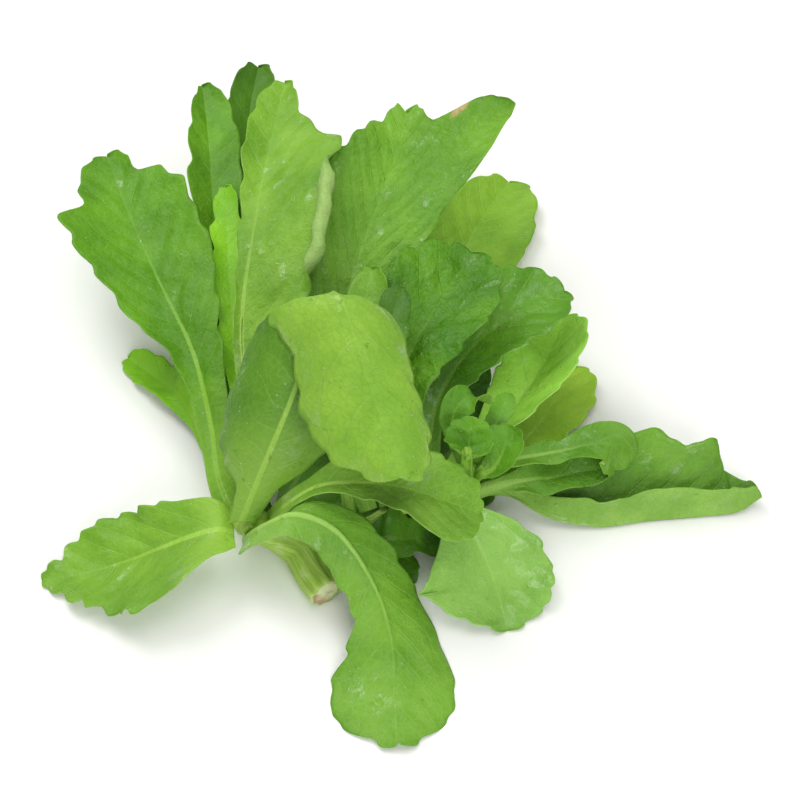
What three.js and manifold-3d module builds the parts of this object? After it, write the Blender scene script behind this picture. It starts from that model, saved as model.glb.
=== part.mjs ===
// Chrysanthemum greens, the broad-leaved kind: one cut head lying on a table.
// Millimetres, +Z up. The origin is the small flat under the stem, on the table.
// The cut end of the stem points towards -Y and the long leaves fan out towards +Y.
import * as THREE from "three";
import { mergeVertices } from "three/addons/utils/BufferGeometryUtils.js";
import Module from "manifold-3d";

const wasm = await Module();
wasm.setup();

// Driving dimensions
const bladeThickness = 0.8; // at the margin; a real blade is about half of that
const stalkEdge = 1.3; // the margin of a leaf stalk is fleshier than the blade
const ribDepth = 2.2; // how far the midrib stands out under the stalk
const margin = 0.985; // a blade ends in a short blunt tip at this share of its length
const leafGap = 1.1; // clear height between a leaf and the one that it lies on
const stemGap = 0.35; // clear space between a leaf base and the stem
const stemRadius = 7.6;
const crownRadius = 6.4;
const branchRadius = 4.4;
const budRadius = 3;
const stemSides = 12;
const leastHalfWidth = 1.2;
const bladeRise = 0.12; // share of the length between the stalk's end and the first tooth
const toothRows = [0.42, 0.8, 1]; // notch, shoulder and point of a tooth, as shares of it
const toothPeak = 0.8; // a tooth swells up to this share of itself and then drops back
const floorCell = 2; // spacing of the height map that the leaves settle on
const floorStart = -160; // its lowest x and y
const floorCells = 240; // its cells along x and along y
const spring = 0.97; // share of a lift that the blade beside it takes over
const springRounds = 60;
const fleshyUntil = 0.5; // share of the length where the thick part of a blade ends

// Routes of the stem and its side branch, from the cut end upwards
const stemRoute = [
  [12, -20, 7.4], [6, -11, 6.7], [0, 0, 6.4], [-9, 6, 9.4],
  [-17, 8, 15], [-21, 7, 20], [-22, 7, 24],
];
const branchRoute = [[-4, 3, 9], [13, 1, 10], [28, 9, 13], [47, 18, 17], [62, 22, 20], [68, 22, 24]];
const heartRoute = [[70, 22, 26], [71, 23, 30], [72, 25, 35]];

// A leaf's shape unless its own entry says otherwise. Widths are in millimetres from
// the midrib, left then right as seen from the base; angles are in degrees; shares run
// from 0 at the base to 1 at the tip. A leaf with left and right outlines has its own
// shape, as [share, width] stops; the others have the plain spoon shape.
const plainLeaf = {
  stalk: 5,
  stalkEnd: 0.2,
  wide: 0.68,
  fold: [12, 12],
  cup: 14,
  curl: [0, 0],
  curlFrom: 0.55,
  roll: 0,
  sweep: 0.28,
  wave: [1.5, 3, 0],
  teeth: 6,
  bite: 2.4,
  columns: [-1, -0.66, -0.33, 0, 0.33, 0.66, 1],
  settles: true,
  carries: true,
};
const fewColumns = [-1, -0.5, 0, 0.5, 1];

// The leaves in the order in which they lie on each other, the lowest first
const leaves = [
  {
    name: "leaf_front", colour: 0x79a844, carries: false, turn: 45, teeth: 7, cup: 8,
    spine: [
      [-21, -1, 17], [-12, -6, 36], [1, -5, 44], [16, -9, 39],
      [32, -25, 20], [39, -44, 6], [40, -66, 2], [41, -84, 1],
    ],
    left: [[0, 7], [0.25, 10], [0.45, 13], [0.6, 14], [0.7, 20], [0.8, 28], [0.9, 25], [1, 6]],
    right: [
      [0, 5], [0.15, 6], [0.27, 9], [0.4, 16], [0.5, 19],
      [0.6, 21], [0.7, 24], [0.8, 28], [0.9, 25], [1, 8],
    ],
  },
  {
    name: "leaf_back_under", colour: 0x50751a,
    spine: [[-14, 14, 6], [-25, 40, 7], [-34, 77, 6], [-39, 124, 4], [-43, 160, 1], [-45, 188, 0]],
    half: [20, 22], wide: 0.62,
  },
  {
    name: "leaf_low_centre", colour: 0x3f6a10,
    spine: [[-8, 15, 6], [10, 22, 5], [36, 28, 4], [62, 38, 2], [86, 52, 1]],
    half: [24, 21], stalkEnd: 0.12, wide: 0.55, fold: [8, 0], cup: 4, wave: [1, 3, 0], teeth: 5,
  },
  {
    name: "leaf_low_back", colour: 0x3f6a10,
    spine: [[-7, 14.5, 12], [-3, 32, 8], [7, 56, 5], [22, 84, 2]],
    half: [13, 15], stalkEnd: 0.12, wide: 0.62, teeth: 4, columns: fewColumns,
  },
  {
    name: "leaf_left_small", colour: 0x6fa718,
    spine: [[-24, 9, 9], [-33, 27, 7], [-42, 51, 4], [-53, 75, 2], [-65, 90, 1], [-81, 105, 0]],
    half: [10, 11], stalk: 2.4, stalkEnd: 0.5, wide: 0.8, teeth: 4, bite: 2, columns: fewColumns,
  },
  {
    name: "leaf_right_low", colour: 0x9cc34e,
    spine: [[38, 19, 12], [43, 54, 9], [52, 105, 7], [68, 155, 3], [83, 191, 1], [94, 210, 0]],
    half: [22, 30], wide: 0.74, roll: -6,
  },
  {
    name: "leaf_right_under", colour: 0x4f7c22,
    spine: [[47, 24, 10], [55, 42, 7], [63, 66, 4], [72, 98, 2]],
    half: [18, 18], stalk: 3.4, stalkEnd: 0.12, wide: 0.6, teeth: 4, columns: fewColumns,
  },
  {
    name: "leaf_right_yellow", colour: 0x7ca628,
    spine: [[58, 25, 14], [72, 37, 11], [90, 50, 7], [103, 66, 4], [113, 84, 1], [121, 99, 0]],
    half: [16, 19], wide: 0.7, teeth: 5,
  },
  {
    name: "leaf_right_inner", colour: 0x3f6a10,
    spine: [[51, 23, 14], [61, 38, 18], [75, 55, 20], [88, 69, 21]],
    half: [12, 11], stalk: 3, teeth: 4, columns: fewColumns,
  },
  {
    name: "leaf_top_dark", colour: 0x507518,
    spine: [
      [-18, 15, 11], [-22, 40, 15], [-26, 79, 18], [-29, 131, 24],
      [-30, 184, 32], [-29, 224, 38], [-26, 251, 40],
    ],
    half: [17, 16], wide: 0.72, fold: [35, 10],
  },
  {
    name: "leaf_top_left", colour: 0x76a736,
    spine: [
      [-23, 13, 15], [-28, 40, 20], [-33, 74, 26], [-39, 119, 34],
      [-43, 165, 42], [-47, 202, 48], [-51, 227, 52],
    ],
    left: [[0, 4], [0.25, 5], [0.45, 11], [0.6, 13], [0.8, 14], [0.9, 11], [1, 2]],
    right: [[0, 4], [0.25, 5], [0.45, 10], [0.6, 13], [0.8, 15.5], [0.9, 14], [0.96, 9], [1, 2]],
    fold: [38, 6],
  },
  {
    name: "leaf_inner_narrow", colour: 0x6c9c33,
    spine: [
      [-19, 13.5, 21], [-23, 44, 28], [-29, 85, 34],
      [-33, 120, 40], [-36, 154, 44], [-37, 168, 46],
    ],
    half: [9, 9], wide: 0.7, stalk: 3, columns: fewColumns,
  },
  {
    name: "leaf_left_large", colour: 0x76a928, teeth: 8, bite: 3,
    spine: [
      [-27, 9, 18], [-34, 26, 22], [-38, 49, 26], [-47, 82, 32],
      [-63, 116, 38], [-80, 154, 44], [-92, 185, 48],
    ],
    left: [
      [0, 6], [0.12, 5], [0.3, 7], [0.4, 11], [0.5, 21], [0.6, 26], [0.7, 32], [0.79, 34],
      [0.84, 20], [0.9, 20], [0.96, 14], [1, 3],
    ],
    right: [
      [0, 6], [0.1, 8], [0.3, 10], [0.4, 15], [0.5, 24], [0.6, 29],
      [0.8, 30], [0.88, 22], [0.92, 11], [0.97, 9], [1, 3],
    ],
  },
  {
    name: "leaf_right_folded", colour: 0x588b1b,
    spine: [[62, 26, 19], [71, 39, 22], [84, 51, 25], [97, 68, 27], [108, 87, 30], [114, 103, 31]],
    half: [19, 22], wide: 0.68, fold: [10, 34], teeth: 5,
  },
  {
    name: "leaf_right_glossy", colour: 0x84ae5f,
    spine: [[55, 24, 21], [57, 52, 35], [72, 79, 42], [92, 95, 46], [112, 106, 47]],
    half: [22, 20], wide: 0.74, teeth: 5,
  },
  {
    name: "leaf_top_right", colour: 0x7dae3e, sweep: 1.2, teeth: 7, bite: 1.2, fold: [12, 0], cup: 8,
    spine: [
      [29, 14, 17], [17, 44, 34], [16, 80, 48], [25, 118, 60],
      [36, 149, 70], [43, 173, 75], [45, 187, 76],
    ],
    left: [
      [0, 4], [0.15, 7], [0.32, 22], [0.5, 31], [0.62, 29],
      [0.73, 22], [0.82, 17], [0.93, 9], [1, 4],
    ],
    right: [
      [0, 4], [0.15, 8], [0.28, 20], [0.43, 26], [0.58, 28], [0.65, 39], [0.7, 48], [0.74, 49],
      [0.785, 45], [0.835, 38], [0.871, 29], [0.89, 15], [0.94, 9], [1, 4],
    ],
  },
  {
    name: "leaf_right_dark", colour: 0x4b7e08,
    spine: [[46, 22, 20], [44, 41, 37], [44, 63, 50], [57, 89, 58], [72, 114, 62]],
    half: [26, 26], wide: 0.72, teeth: 5,
  },
  {
    name: "leaf_top_centre", colour: 0x7aa53f, teeth: 7, bite: 2,
    spine: [[-19, 12, 27], [-22, 53, 42], [-25, 83, 52], [-20, 134, 62], [-15, 174, 70], [-10, 207, 74]],
    left: [[0, 4], [0.4, 4], [0.6, 8], [0.8, 13], [0.92, 12], [1, 4]],
    right: [
      [0, 4], [0.25, 6], [0.42, 34], [0.47, 46], [0.64, 46],
      [0.7, 37], [0.77, 35], [0.83, 21], [0.9, 12], [1, 4],
    ],
    curl: [0, [[0.4, 0], [0.46, 165], [0.64, 165], [0.74, 0]]], curlFrom: 0.68,
    columns: [-1, -0.5, 0, 0.36, 0.66, 0.82, 1],
  },
  {
    name: "young_leaf_centre", colour: 0x86b53c,
    spine: [[22, 9, 17], [19, 24, 33], [21, 49, 48], [26, 77, 60], [30, 102, 68]],
    half: [10, 12], stalk: 2.4, wide: 0.7, teeth: 4, bite: 1.8, columns: fewColumns,
  },
  {
    name: "young_leaf_right", colour: 0x6b9c2c,
    spine: [[36, 15, 19], [33, 27, 34], [33, 48, 50], [38, 71, 60], [42, 91, 64]],
    half: [9, 9], stalk: 2.4, wide: 0.7, teeth: 4, bite: 1.8, columns: fewColumns,
  },
  {
    name: "leaf_left_front", colour: 0x86b747, teeth: 7, bite: 3, stalkEnd: 0.05,
    spine: [[-27, 2, 19], [-36, 1, 21], [-54, -1, 14], [-71, -3, 5], [-90, -7, 1], [-107, -10, 0]],
    left: [
      [0, 9], [0.08, 14], [0.2, 28], [0.35, 35], [0.5, 33],
      [0.6, 29], [0.7, 23], [0.8, 19], [0.9, 11], [1, 4],
    ],
    right: [
      [0, 9], [0.1, 15], [0.2, 17], [0.3, 20], [0.5, 22.5],
      [0.6, 21], [0.7, 18.5], [0.8, 16], [0.9, 10], [1, 3],
    ],
  },
  {
    name: "leaf_far_right", bite: 1.2, colour: 0x7aae45, fold: [28, 105], cup: 6, teeth: 6,
    spine: [
      [67, 20, 15], [77, 24, 11], [90, 25, 7], [106, 18, 3], [128, 16, 1],
      [149, 19, 1], [171, 21, 1], [188, 23, 2], [196, 27, 5],
    ],
    left: [
      [0, 4], [0.2, 12], [0.38, 30], [0.5, 38], [0.6, 41], [0.67, 35], [0.72, 30],
      [0.79, 34], [0.85, 32], [0.89, 27], [0.93, 20], [0.97, 12], [1, 6],
    ],
    right: [[0, 4], [0.2, 10], [0.4, 15], [0.7, 17], [0.9, 15], [1, 6]],
  },
  {
    name: "leaf_right_strip", colour: 0x88b75c,
    spine: [[70, 18, 20], [80, 22, 17], [93, 26, 15], [115, 31, 16], [133, 34, 18]],
    half: [8, 10], stalk: 2.4, wide: 0.6, teeth: 3, bite: 1, columns: fewColumns,
  },
  {
    name: "leaf_front_under", colour: 0x8aa04a,
    spine: [[30, 9, 6], [38, 5, 6], [43, -4, 4], [45, -13, 1]],
    half: [7, 7], stalk: 2.2, wide: 0.65, teeth: 3, bite: 1.2, columns: fewColumns,
  },
  {
    name: "leaf_front_low", colour: 0x3f6a10,
    spine: [[14, -5, 6], [27, 0, 5], [44, 3, 3], [63, 6, 1]],
    half: [11, 10], stalk: 2.6, stalkEnd: 0.15, wide: 0.6, teeth: 4, bite: 1.4, columns: fewColumns,
  },
  {
    name: "leaf_right_front", colour: 0x86b34f, teeth: 6, bite: 1.6,
    spine: [[51, 15, 16], [59, 16, 18], [71, 7, 14], [81, -10, 4], [86, -31, 0]],
    left: [[0, 4], [0.2, 4], [0.3, 8], [0.4, 18], [0.5, 25], [0.65, 26], [0.78, 23], [0.9, 18], [1, 7]],
    right: [[0, 4], [0.2, 10], [0.33, 30], [0.48, 39], [0.62, 37], [0.78, 28], [0.9, 18], [1, 6]],
  },
  {
    name: "leaf_right_curled", colour: 0x88b75c,
    spine: [
      [72, 26, 23], [80, 31, 25], [93, 34, 25], [110, 37, 26],
      [123, 39, 27], [132, 38, 25], [133, 32, 17],
    ],
    left: [[0, 3], [0.3, 4], [0.55, 6], [0.7, 9], [0.85, 12], [0.95, 10], [1, 5]],
    right: [[0, 3], [0.3, 5], [0.55, 7], [0.7, 9], [0.85, 12], [0.95, 10], [1, 5]],
    teeth: 3, bite: 1, columns: fewColumns, turn: [[0.6, -80], [0.95, -140]],
  },
  {
    name: "leaf_centre_front", colour: 0x85b249, bite: 1.6,
    spine: [[-12, 7, 19], [-4, 6, 34], [9, 7.5, 46], [24, 7, 50], [42, 5, 50], [59, 2, 45], [74, 0, 38]],
    left: [[0, 5], [0.3, 5], [0.5, 16], [0.7, 18], [0.85, 17], [0.94, 14], [1, 4]],
    right: [
      [0, 5], [0.3, 5], [0.45, 8], [0.56, 12], [0.63, 16],
      [0.72, 21], [0.8, 23], [0.9, 20], [0.95, 14], [1, 3],
    ],
  },
  {
    name: "heart_leaf_back", colour: 0x639522, cluster: "heart_leaves",
    spine: [[72, 24, 29], [77, 31, 38], [83, 42, 43], [88, 54, 45]],
    half: [5.5, 5.5], wide: 0.75, wave: [0.5, 2, 0], stalk: 2.2, teeth: 4, bite: 0.8,
    columns: fewColumns,
  },
  {
    name: "heart_leaf_right", colour: 0x639522, cluster: "heart_leaves",
    spine: [[73, 22, 28], [80, 21, 33], [85, 27, 39], [87, 36, 44]],
    half: [10, 10], wave: [0.5, 2, 0], stalk: 2.2, teeth: 3, bite: 1.2, columns: fewColumns,
  },
  {
    name: "heart_leaf_nodding", colour: 0x639522, cluster: "heart_leaves", turn: -20,
    spine: [[70, 23, 30], [65, 32, 42], [65, 41, 51], [71, 46, 54], [79, 46, 50]],
    half: [7, 8], wave: [0.5, 2, 0], stalk: 2.2, teeth: 3, bite: 1.2, columns: fewColumns,
  },
  {
    name: "heart_leaf_upright", colour: 0x639522, cluster: "heart_leaves",
    spine: [[69.5, 19.5, 27], [69.5, 18, 33], [70.5, 24, 41], [71, 34, 47]],
    half: [11, 11], wave: [0.5, 2, 0], stalk: 2.4, wide: 0.6, teeth: 4, bite: 1.2, columns: fewColumns,
  },
  {
    name: "leaf_centre_arched", colour: 0x87b133, settles: false, teeth: 9, turn: 0,
    wave: [1, 3, 0], sweep: 0,
    spine: [
      [-23, 2, 28], [-14, 14, 48], [-2, 29, 74], [7, 43, 95], [12, 52, 107], [16, 54, 114],
      [20, 48, 116], [24, 38, 110], [30, 22, 100], [37, 5, 89], [41, -6, 82],
    ],
    left: [
      [0, 6], [0.1, 9], [0.2, 24], [0.3, 38], [0.42, 43],
      [0.56, 40], [0.7, 33], [0.85, 37], [0.94, 31], [1, 12],
    ],
    right: [
      [0, 6], [0.09, 9], [0.18, 20], [0.3, 31], [0.42, 33],
      [0.56, 30], [0.7, 30], [0.85, 28], [0.94, 24], [1, 12],
    ],
    droops: true, fold: [[[0.1, -10], [0.3, 4]], [[0.1, -10], [0.3, 4]]], cup: 66,
  },
];

// A value at one share of a leaf's length: a number, or a list of [share, value] stops
function along(stops, share) {
  if (typeof stops === "number") return stops;
  const first = stops[0];
  if (share <= first[0]) return first[1];
  for (let i = 1; i < stops.length; i += 1) {
    const [from, low] = stops[i - 1];
    const [to, high] = stops[i];
    const part = (share - from) / (to - from);
    if (share <= to) return low + (high - low) * (part + smooth(part)) * 0.5;
  }
  return stops[stops.length - 1][1];
}

function smooth(t) {
  const s = Math.min(1, Math.max(0, t));
  return s * s * (3 - 2 * s);
}

// The same small wander between 0 and 1 for the same two whole numbers, every time
function wander(a, b) {
  const value = Math.sin(a * 12.9898 + b * 78.233) * 43758.5453;
  return value - Math.floor(value);
}

// Shares of the length where the sheet has a row of points: a few on the stalk, then
// the notch, shoulder and point of every tooth
function rowShares(leaf) {
  const shares = [0];
  const stalkRows = 3;
  const bladeStart = leaf.stalkEnd + bladeRise;
  for (let i = 1; i <= stalkRows; i += 1) shares.push((bladeStart * i) / stalkRows);
  const tooth = (margin - bladeStart) / leaf.teeth;
  for (let i = 0; i < leaf.teeth; i += 1) {
    for (const part of toothRows) shares.push(bladeStart + tooth * (i + part));
  }
  return shares;
}

// Distance from the midrib to the toothed margin
function halfWidth(leaf, share, side) {
  const outline = side > 0 ? leaf.right : leaf.left;
  const width = outline ? along(outline, share) : spoonWidth(leaf, share, side);
  return Math.max(leastHalfWidth, width - toothBite(leaf, share, side));
}

function spoonWidth(leaf, share, side) {
  const full = leaf.half[side > 0 ? 1 : 0];
  if (share < leaf.wide) {
    const rise = Math.max(0, (share - leaf.stalkEnd) / (leaf.wide - leaf.stalkEnd));
    return leaf.stalk + (full - leaf.stalk) * Math.sin((rise * Math.PI) / 2) ** 1.3;
  }
  const fall = (share - leaf.wide) / (1 - leaf.wide);
  return full * Math.max(0, 1 - fall ** 2.3) ** (1 / 2.3);
}

// A tooth leans forward: it swells slowly and drops back fast
function toothBite(leaf, share, side) {
  const bladeStart = leaf.stalkEnd + bladeRise;
  const place = ((share - bladeStart) / (margin - bladeStart)) * leaf.teeth;
  if (place <= 0 || share >= margin) return 0;
  const phase = place - Math.floor(place);
  const rising = Math.sin((phase / toothPeak) * (Math.PI / 2));
  const swell = phase < toothPeak ? rising : 1 - (phase - toothPeak) / (1 - toothPeak);
  const depth = leaf.bite * (0.6 + 0.8 * wander(Math.floor(place), side + 3));
  return depth * (1 - swell) * smooth(place / 1.5);
}

// Where a point of the cross-section lies, sideways and upwards from the midrib
function crossSection(leaf, share, u) {
  const side = u < 0 ? 0 : 1;
  const fold = along(leaf.fold[side], share);
  const curl = along(leaf.curl[side], share);
  const width = halfWidth(leaf, share, u);
  const steps = 12;
  const step = Math.abs(u) / steps;
  let out = 0;
  let up = 0;
  for (let i = 0; i < steps; i += 1) {
    const q = (i + 0.5) * step;
    const curled = curl * smooth((q - leaf.curlFrom) / (1 - leaf.curlFrom));
    const angle = THREE.MathUtils.degToRad(fold + leaf.cup * q + curled);
    out += Math.cos(angle) * step * width;
    up += Math.sin(angle) * step * width;
  }
  const [height, count, phase] = leaf.wave;
  const ripple = Math.sin(2 * Math.PI * count * share + phase + side * 1.9);
  up += height * ripple * u * u * smooth((share - leaf.stalkEnd) / 0.25);
  return [Math.sign(u) * out, up];
}

// Directions at one share of the midrib: along it, to the leaf's right, and up from it
function frameAt(leaf, curve, share) {
  const forward = curve.getTangentAt(Math.min(1, share));
  const heading = along(leaf.turn, share);
  const angle = THREE.MathUtils.degToRad(heading);
  const right = new THREE.Vector3(Math.cos(angle), Math.sin(angle), 0);
  if (leaf.droops) return { forward, right, up: new THREE.Vector3(0, 0, -1) };
  right.addScaledVector(forward, -right.dot(forward)).normalize();
  right.applyAxisAngle(forward, THREE.MathUtils.degToRad(-along(leaf.roll, share)));
  const up = new THREE.Vector3().crossVectors(right, forward);
  return { forward, right, up };
}

function curveThrough(route) {
  return new THREE.CatmullRomCurve3(route.map((p) => new THREE.Vector3(...p)), false, "centripetal");
}

// The middle sheet of a leaf as rows of points from the left margin to the right one
function middleSheet(leaf) {
  const curve = curveThrough(leaf.spine);
  const length = curve.getLength();
  return rowShares(leaf).map((share) => {
    const row = [];
    for (const u of leaf.columns) {
      const sweep = (leaf.sweep * Math.abs(u) * halfWidth(leaf, share, u) * smooth(share / 0.3)) / length;
      const reach = share + sweep;
      const beyond = Math.max(0, reach - 1) * length;
      const { forward, right, up } = frameAt(leaf, curve, reach);
      const [out, rise] = crossSection(leaf, share, u);
      const point = curve.getPointAt(Math.min(1, reach)).addScaledVector(forward, beyond);
      row.push(point.addScaledVector(right, out).addScaledVector(up, rise));
    }
    return row;
  });
}

// A height map of the table and everything laid on it so far
class Pile {
  constructor() {
    this.low = floorStart;
    this.size = floorCells;
    this.heights = new Float64Array(this.size * this.size);
  }

  index(x, y) {
    const column = Math.round((x - this.low) / floorCell);
    const row = Math.round((y - this.low) / floorCell);
    return row * this.size + column;
  }

  topAt(x, y) {
    const middle = this.index(x, y);
    let top = 0;
    for (const down of [-this.size, 0, this.size]) {
      for (const across of [-1, 0, 1]) top = Math.max(top, this.heights[middle + down + across]);
    }
    return top;
  }

  add(sheet) {
    for (const point of fineSamples(sheet)) {
      const cell = this.index(point.x, point.y);
      this.heights[cell] = Math.max(this.heights[cell], point.z + bladeThickness / 2);
    }
  }
}

// Points all over a sheet, closer together than the height map's cells
function* fineSamples(sheet) {
  const parts = 5;
  for (let i = 0; i + 1 < sheet.length; i += 1) {
    for (let j = 0; j + 1 < sheet[i].length; j += 1) {
      for (let a = 0; a <= parts; a += 1) {
        const start = sheet[i][j].clone().lerp(sheet[i + 1][j], a / parts);
        const end = sheet[i][j + 1].clone().lerp(sheet[i + 1][j + 1], a / parts);
        for (let b = 0; b <= parts; b += 1) {
          const point = start.clone().lerp(end, b / parts);
          point.cell = [i + a / parts, j + b / parts];
          yield point;
        }
      }
    }
  }
}

// Lifts a sheet off the table and the leaves below it, most where it touches and
// less and less away from there, as a springy blade does
function settle(sheet, pile) {
  const need = sheet.map((row) => row.map(() => 0));
  for (const point of fineSamples(sheet)) {
    const floor = pile.topAt(point.x, point.y);
    const clear = floor > 0 ? leafGap : 0;
    const lift = floor + clear + bladeThickness / 2 - point.z;
    const [i, j] = point.cell;
    for (const row of [Math.floor(i), Math.ceil(i)]) {
      for (const column of [Math.floor(j), Math.ceil(j)]) {
        if (row > 0) need[row][column] = Math.max(need[row][column], lift);
      }
    }
  }
  let lifts = need.map((row) => row.slice());
  const last = sheet[0].length - 1;
  for (let round = 0; round < springRounds; round += 1) {
    lifts = lifts.map((row, i) =>
      row.map((_, j) => {
        if (i === 0) return 0;
        const before = lifts[i - 1][j];
        const after = lifts[Math.min(i + 1, lifts.length - 1)][j];
        const left = lifts[i][Math.max(0, j - 1)];
        const right = lifts[i][Math.min(last, j + 1)];
        return Math.max(need[i][j], spring * (before + after + left + right) * 0.25);
      }),
    );
  }
  sheet.forEach((row, i) => row.forEach((point, j) => (point.z += lifts[i][j])));
}

// A closed blade from its middle sheet: both faces split alike, thicker at the midrib
function bladeGeometry(leaf, sheet) {
  const rows = sheet.length;
  const columns = sheet[0].length;
  const shares = rowShares(leaf);
  const tops = [];
  const bottoms = [];
  for (let i = 0; i < rows; i += 1) {
    for (let j = 0; j < columns; j += 1) {
      const normal = sheetNormal(sheet, i, j);
      const fleshy = 1 - smooth(shares[i] / fleshyUntil);
      const thickness = bladeThickness + (stalkEdge - bladeThickness) * fleshy;
      const rib = leaf.columns[j] === 0 ? ribDepth * (1 - shares[i]) ** 1.5 : 0;
      tops.push(sheet[i][j].clone().addScaledVector(normal, thickness / 2));
      bottoms.push(sheet[i][j].clone().addScaledVector(normal, -thickness / 2 - rib));
    }
  }
  for (const point of bottoms) point.z = Math.max(0, point.z);
  return boxGrid(tops, bottoms, rows, columns);
}

function sheetNormal(sheet, i, j) {
  const rows = sheet.length;
  const columns = sheet[0].length;
  const lengthwise = sheet[Math.min(i + 1, rows - 1)][j].clone().sub(sheet[Math.max(i - 1, 0)][j]);
  const sideways = sheet[i][Math.min(j + 1, columns - 1)].clone().sub(sheet[i][Math.max(j - 1, 0)]);
  return sideways.cross(lengthwise).normalize();
}

function boxGrid(tops, bottoms, rows, columns) {
  const count = rows * columns;
  const triangles = [];
  const quad = (a, b, c, d) => triangles.push(a, b, c, a, c, d);
  for (let i = 0; i + 1 < rows; i += 1) {
    for (let j = 0; j + 1 < columns; j += 1) {
      const a = i * columns + j;
      const b = a + 1;
      const c = b + columns;
      const d = a + columns;
      quad(a, b, c, d);
      triangles.push(count + a, count + c, count + b, count + a, count + d, count + c);
    }
    const left = i * columns;
    const right = left + columns - 1;
    quad(left, left + columns, count + left + columns, count + left);
    quad(right, count + right, count + right + columns, right + columns);
  }
  for (let j = 0; j + 1 < columns; j += 1) {
    const end = (rows - 1) * columns + j;
    quad(j, count + j, count + j + 1, j + 1);
    quad(end, end + 1, count + end + 1, count + end);
  }
  return geometryOf([...tops, ...bottoms], triangles);
}

function geometryOf(points, triangles) {
  const geometry = new THREE.BufferGeometry();
  const positions = points.flatMap((p) => [p.x, p.y, p.z]);
  geometry.setAttribute("position", new THREE.Float32BufferAttribute(positions, 3));
  geometry.setIndex(triangles);
  return geometry;
}

// A round stalk along a route, flattened where it would go below the table
function stalkGeometry(route, radiusAt, steps, sides) {
  const curve = curveThrough(route);
  const points = [];
  for (let i = 0; i <= steps; i += 1) {
    const share = i / steps;
    const centre = curve.getPointAt(share);
    const forward = curve.getTangentAt(share);
    const right = new THREE.Vector3(1, 0, 0);
    right.addScaledVector(forward, -right.dot(forward)).normalize();
    const up = new THREE.Vector3().crossVectors(right, forward);
    for (let k = 0; k < sides; k += 1) {
      const angle = (2 * Math.PI * (k + 0.5)) / sides;
      const radius = radiusAt(share, angle);
      const point = centre.clone().addScaledVector(right, Math.cos(angle) * radius);
      point.addScaledVector(up, Math.sin(angle) * radius);
      point.z = Math.max(0, point.z);
      points.push(point);
    }
  }
  points.push(curve.getPointAt(0), curve.getPointAt(1));
  const triangles = [];
  for (let i = 0; i < steps; i += 1) {
    for (let k = 0; k < sides; k += 1) {
      const a = i * sides + k;
      const b = i * sides + ((k + 1) % sides);
      triangles.push(a, a + sides, b + sides, a, b + sides, b);
    }
  }
  const start = points.length - 2;
  const end = points.length - 1;
  for (let k = 0; k < sides; k += 1) {
    const next = (k + 1) % sides;
    triangles.push(start, k, next);
    triangles.push(end, steps * sides + next, steps * sides + k);
  }
  return geometryOf(points, triangles);
}

function toSolid(geometry) {
  const merged = mergeVertices(geometry, 1e-4);
  return new wasm.Manifold(
    new wasm.Mesh({
      numProp: 3,
      vertProperties: new Float32Array(merged.attributes.position.array),
      triVerts: new Uint32Array(merged.index.array),
    }),
  );
}

function toGeometry(solid) {
  const mesh = solid.getMesh();
  const geometry = new THREE.BufferGeometry();
  geometry.setAttribute("position", new THREE.Float32BufferAttribute(mesh.vertProperties, 3));
  geometry.setIndex(new THREE.Uint32BufferAttribute(mesh.triVerts, 1));
  return geometry;
}

// The stem and its side branch in one body, grown by `spare` all round
function stemSolid(spare) {
  const crown = (share) => stemRadius + (crownRadius - stemRadius) * share + spare;
  const slim = (share) => branchRadius + (budRadius - branchRadius) * share + spare;
  const main = toSolid(stalkGeometry(stemRoute, crown, 12, stemSides));
  const branch = toSolid(stalkGeometry(branchRoute, slim, 14, 10));
  return main.add(branch);
}

function material(colour) {
  return new THREE.MeshStandardMaterial({ color: colour, roughness: 0.45, metalness: 0 });
}

const plant = new THREE.Group();

function addNode(name, solid, colour) {
  const mesh = new THREE.Mesh(toGeometry(solid), material(colour));
  mesh.name = name;
  plant.add(mesh);
}

addNode("stem", stemSolid(0), 0x9ebe47);

const clearOfStem = stemSolid(stemGap);
const pile = new Pile();
const heartLeaves = [];
leaves.forEach((entry) => {
  const leaf = { ...plainLeaf, ...entry };
  const [first, last] = [leaf.spine[0], leaf.spine[leaf.spine.length - 1]];
  leaf.turn ??= THREE.MathUtils.radToDeg(Math.atan2(last[1] - first[1], last[0] - first[0])) - 90;
  const sheet = middleSheet(leaf);
  if (leaf.settles) {
    settle(sheet, pile);
    if (leaf.carries) pile.add(sheet);
  }
  const blade = toSolid(bladeGeometry(leaf, sheet));
  if (leaf.cluster) heartLeaves.push(blade);
  else addNode(leaf.name, blade.subtract(clearOfStem), leaf.colour);
});
const bud = toSolid(stalkGeometry(heartRoute, () => budRadius, 4, 8));
const heart = heartLeaves.reduce((whole, blade) => whole.add(blade), bud);
addNode("heart_leaves", heart.subtract(clearOfStem), 0x639522);

export default plant;
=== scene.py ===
import math

import bpy
import numpy as np
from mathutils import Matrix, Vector


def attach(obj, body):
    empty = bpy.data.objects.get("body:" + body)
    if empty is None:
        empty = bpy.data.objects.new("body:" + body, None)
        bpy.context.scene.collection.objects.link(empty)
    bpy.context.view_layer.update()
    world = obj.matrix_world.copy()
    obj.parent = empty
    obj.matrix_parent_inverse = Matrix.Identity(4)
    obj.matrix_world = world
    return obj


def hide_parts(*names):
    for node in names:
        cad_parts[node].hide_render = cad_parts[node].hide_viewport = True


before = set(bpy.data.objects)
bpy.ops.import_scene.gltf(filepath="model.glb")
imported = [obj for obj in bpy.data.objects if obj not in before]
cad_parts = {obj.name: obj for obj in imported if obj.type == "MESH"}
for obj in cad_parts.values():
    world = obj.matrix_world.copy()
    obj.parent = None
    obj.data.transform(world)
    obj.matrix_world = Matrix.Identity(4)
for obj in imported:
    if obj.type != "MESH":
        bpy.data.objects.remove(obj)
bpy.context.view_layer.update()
mm = 0.001
metre = 1000  # mm
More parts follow.
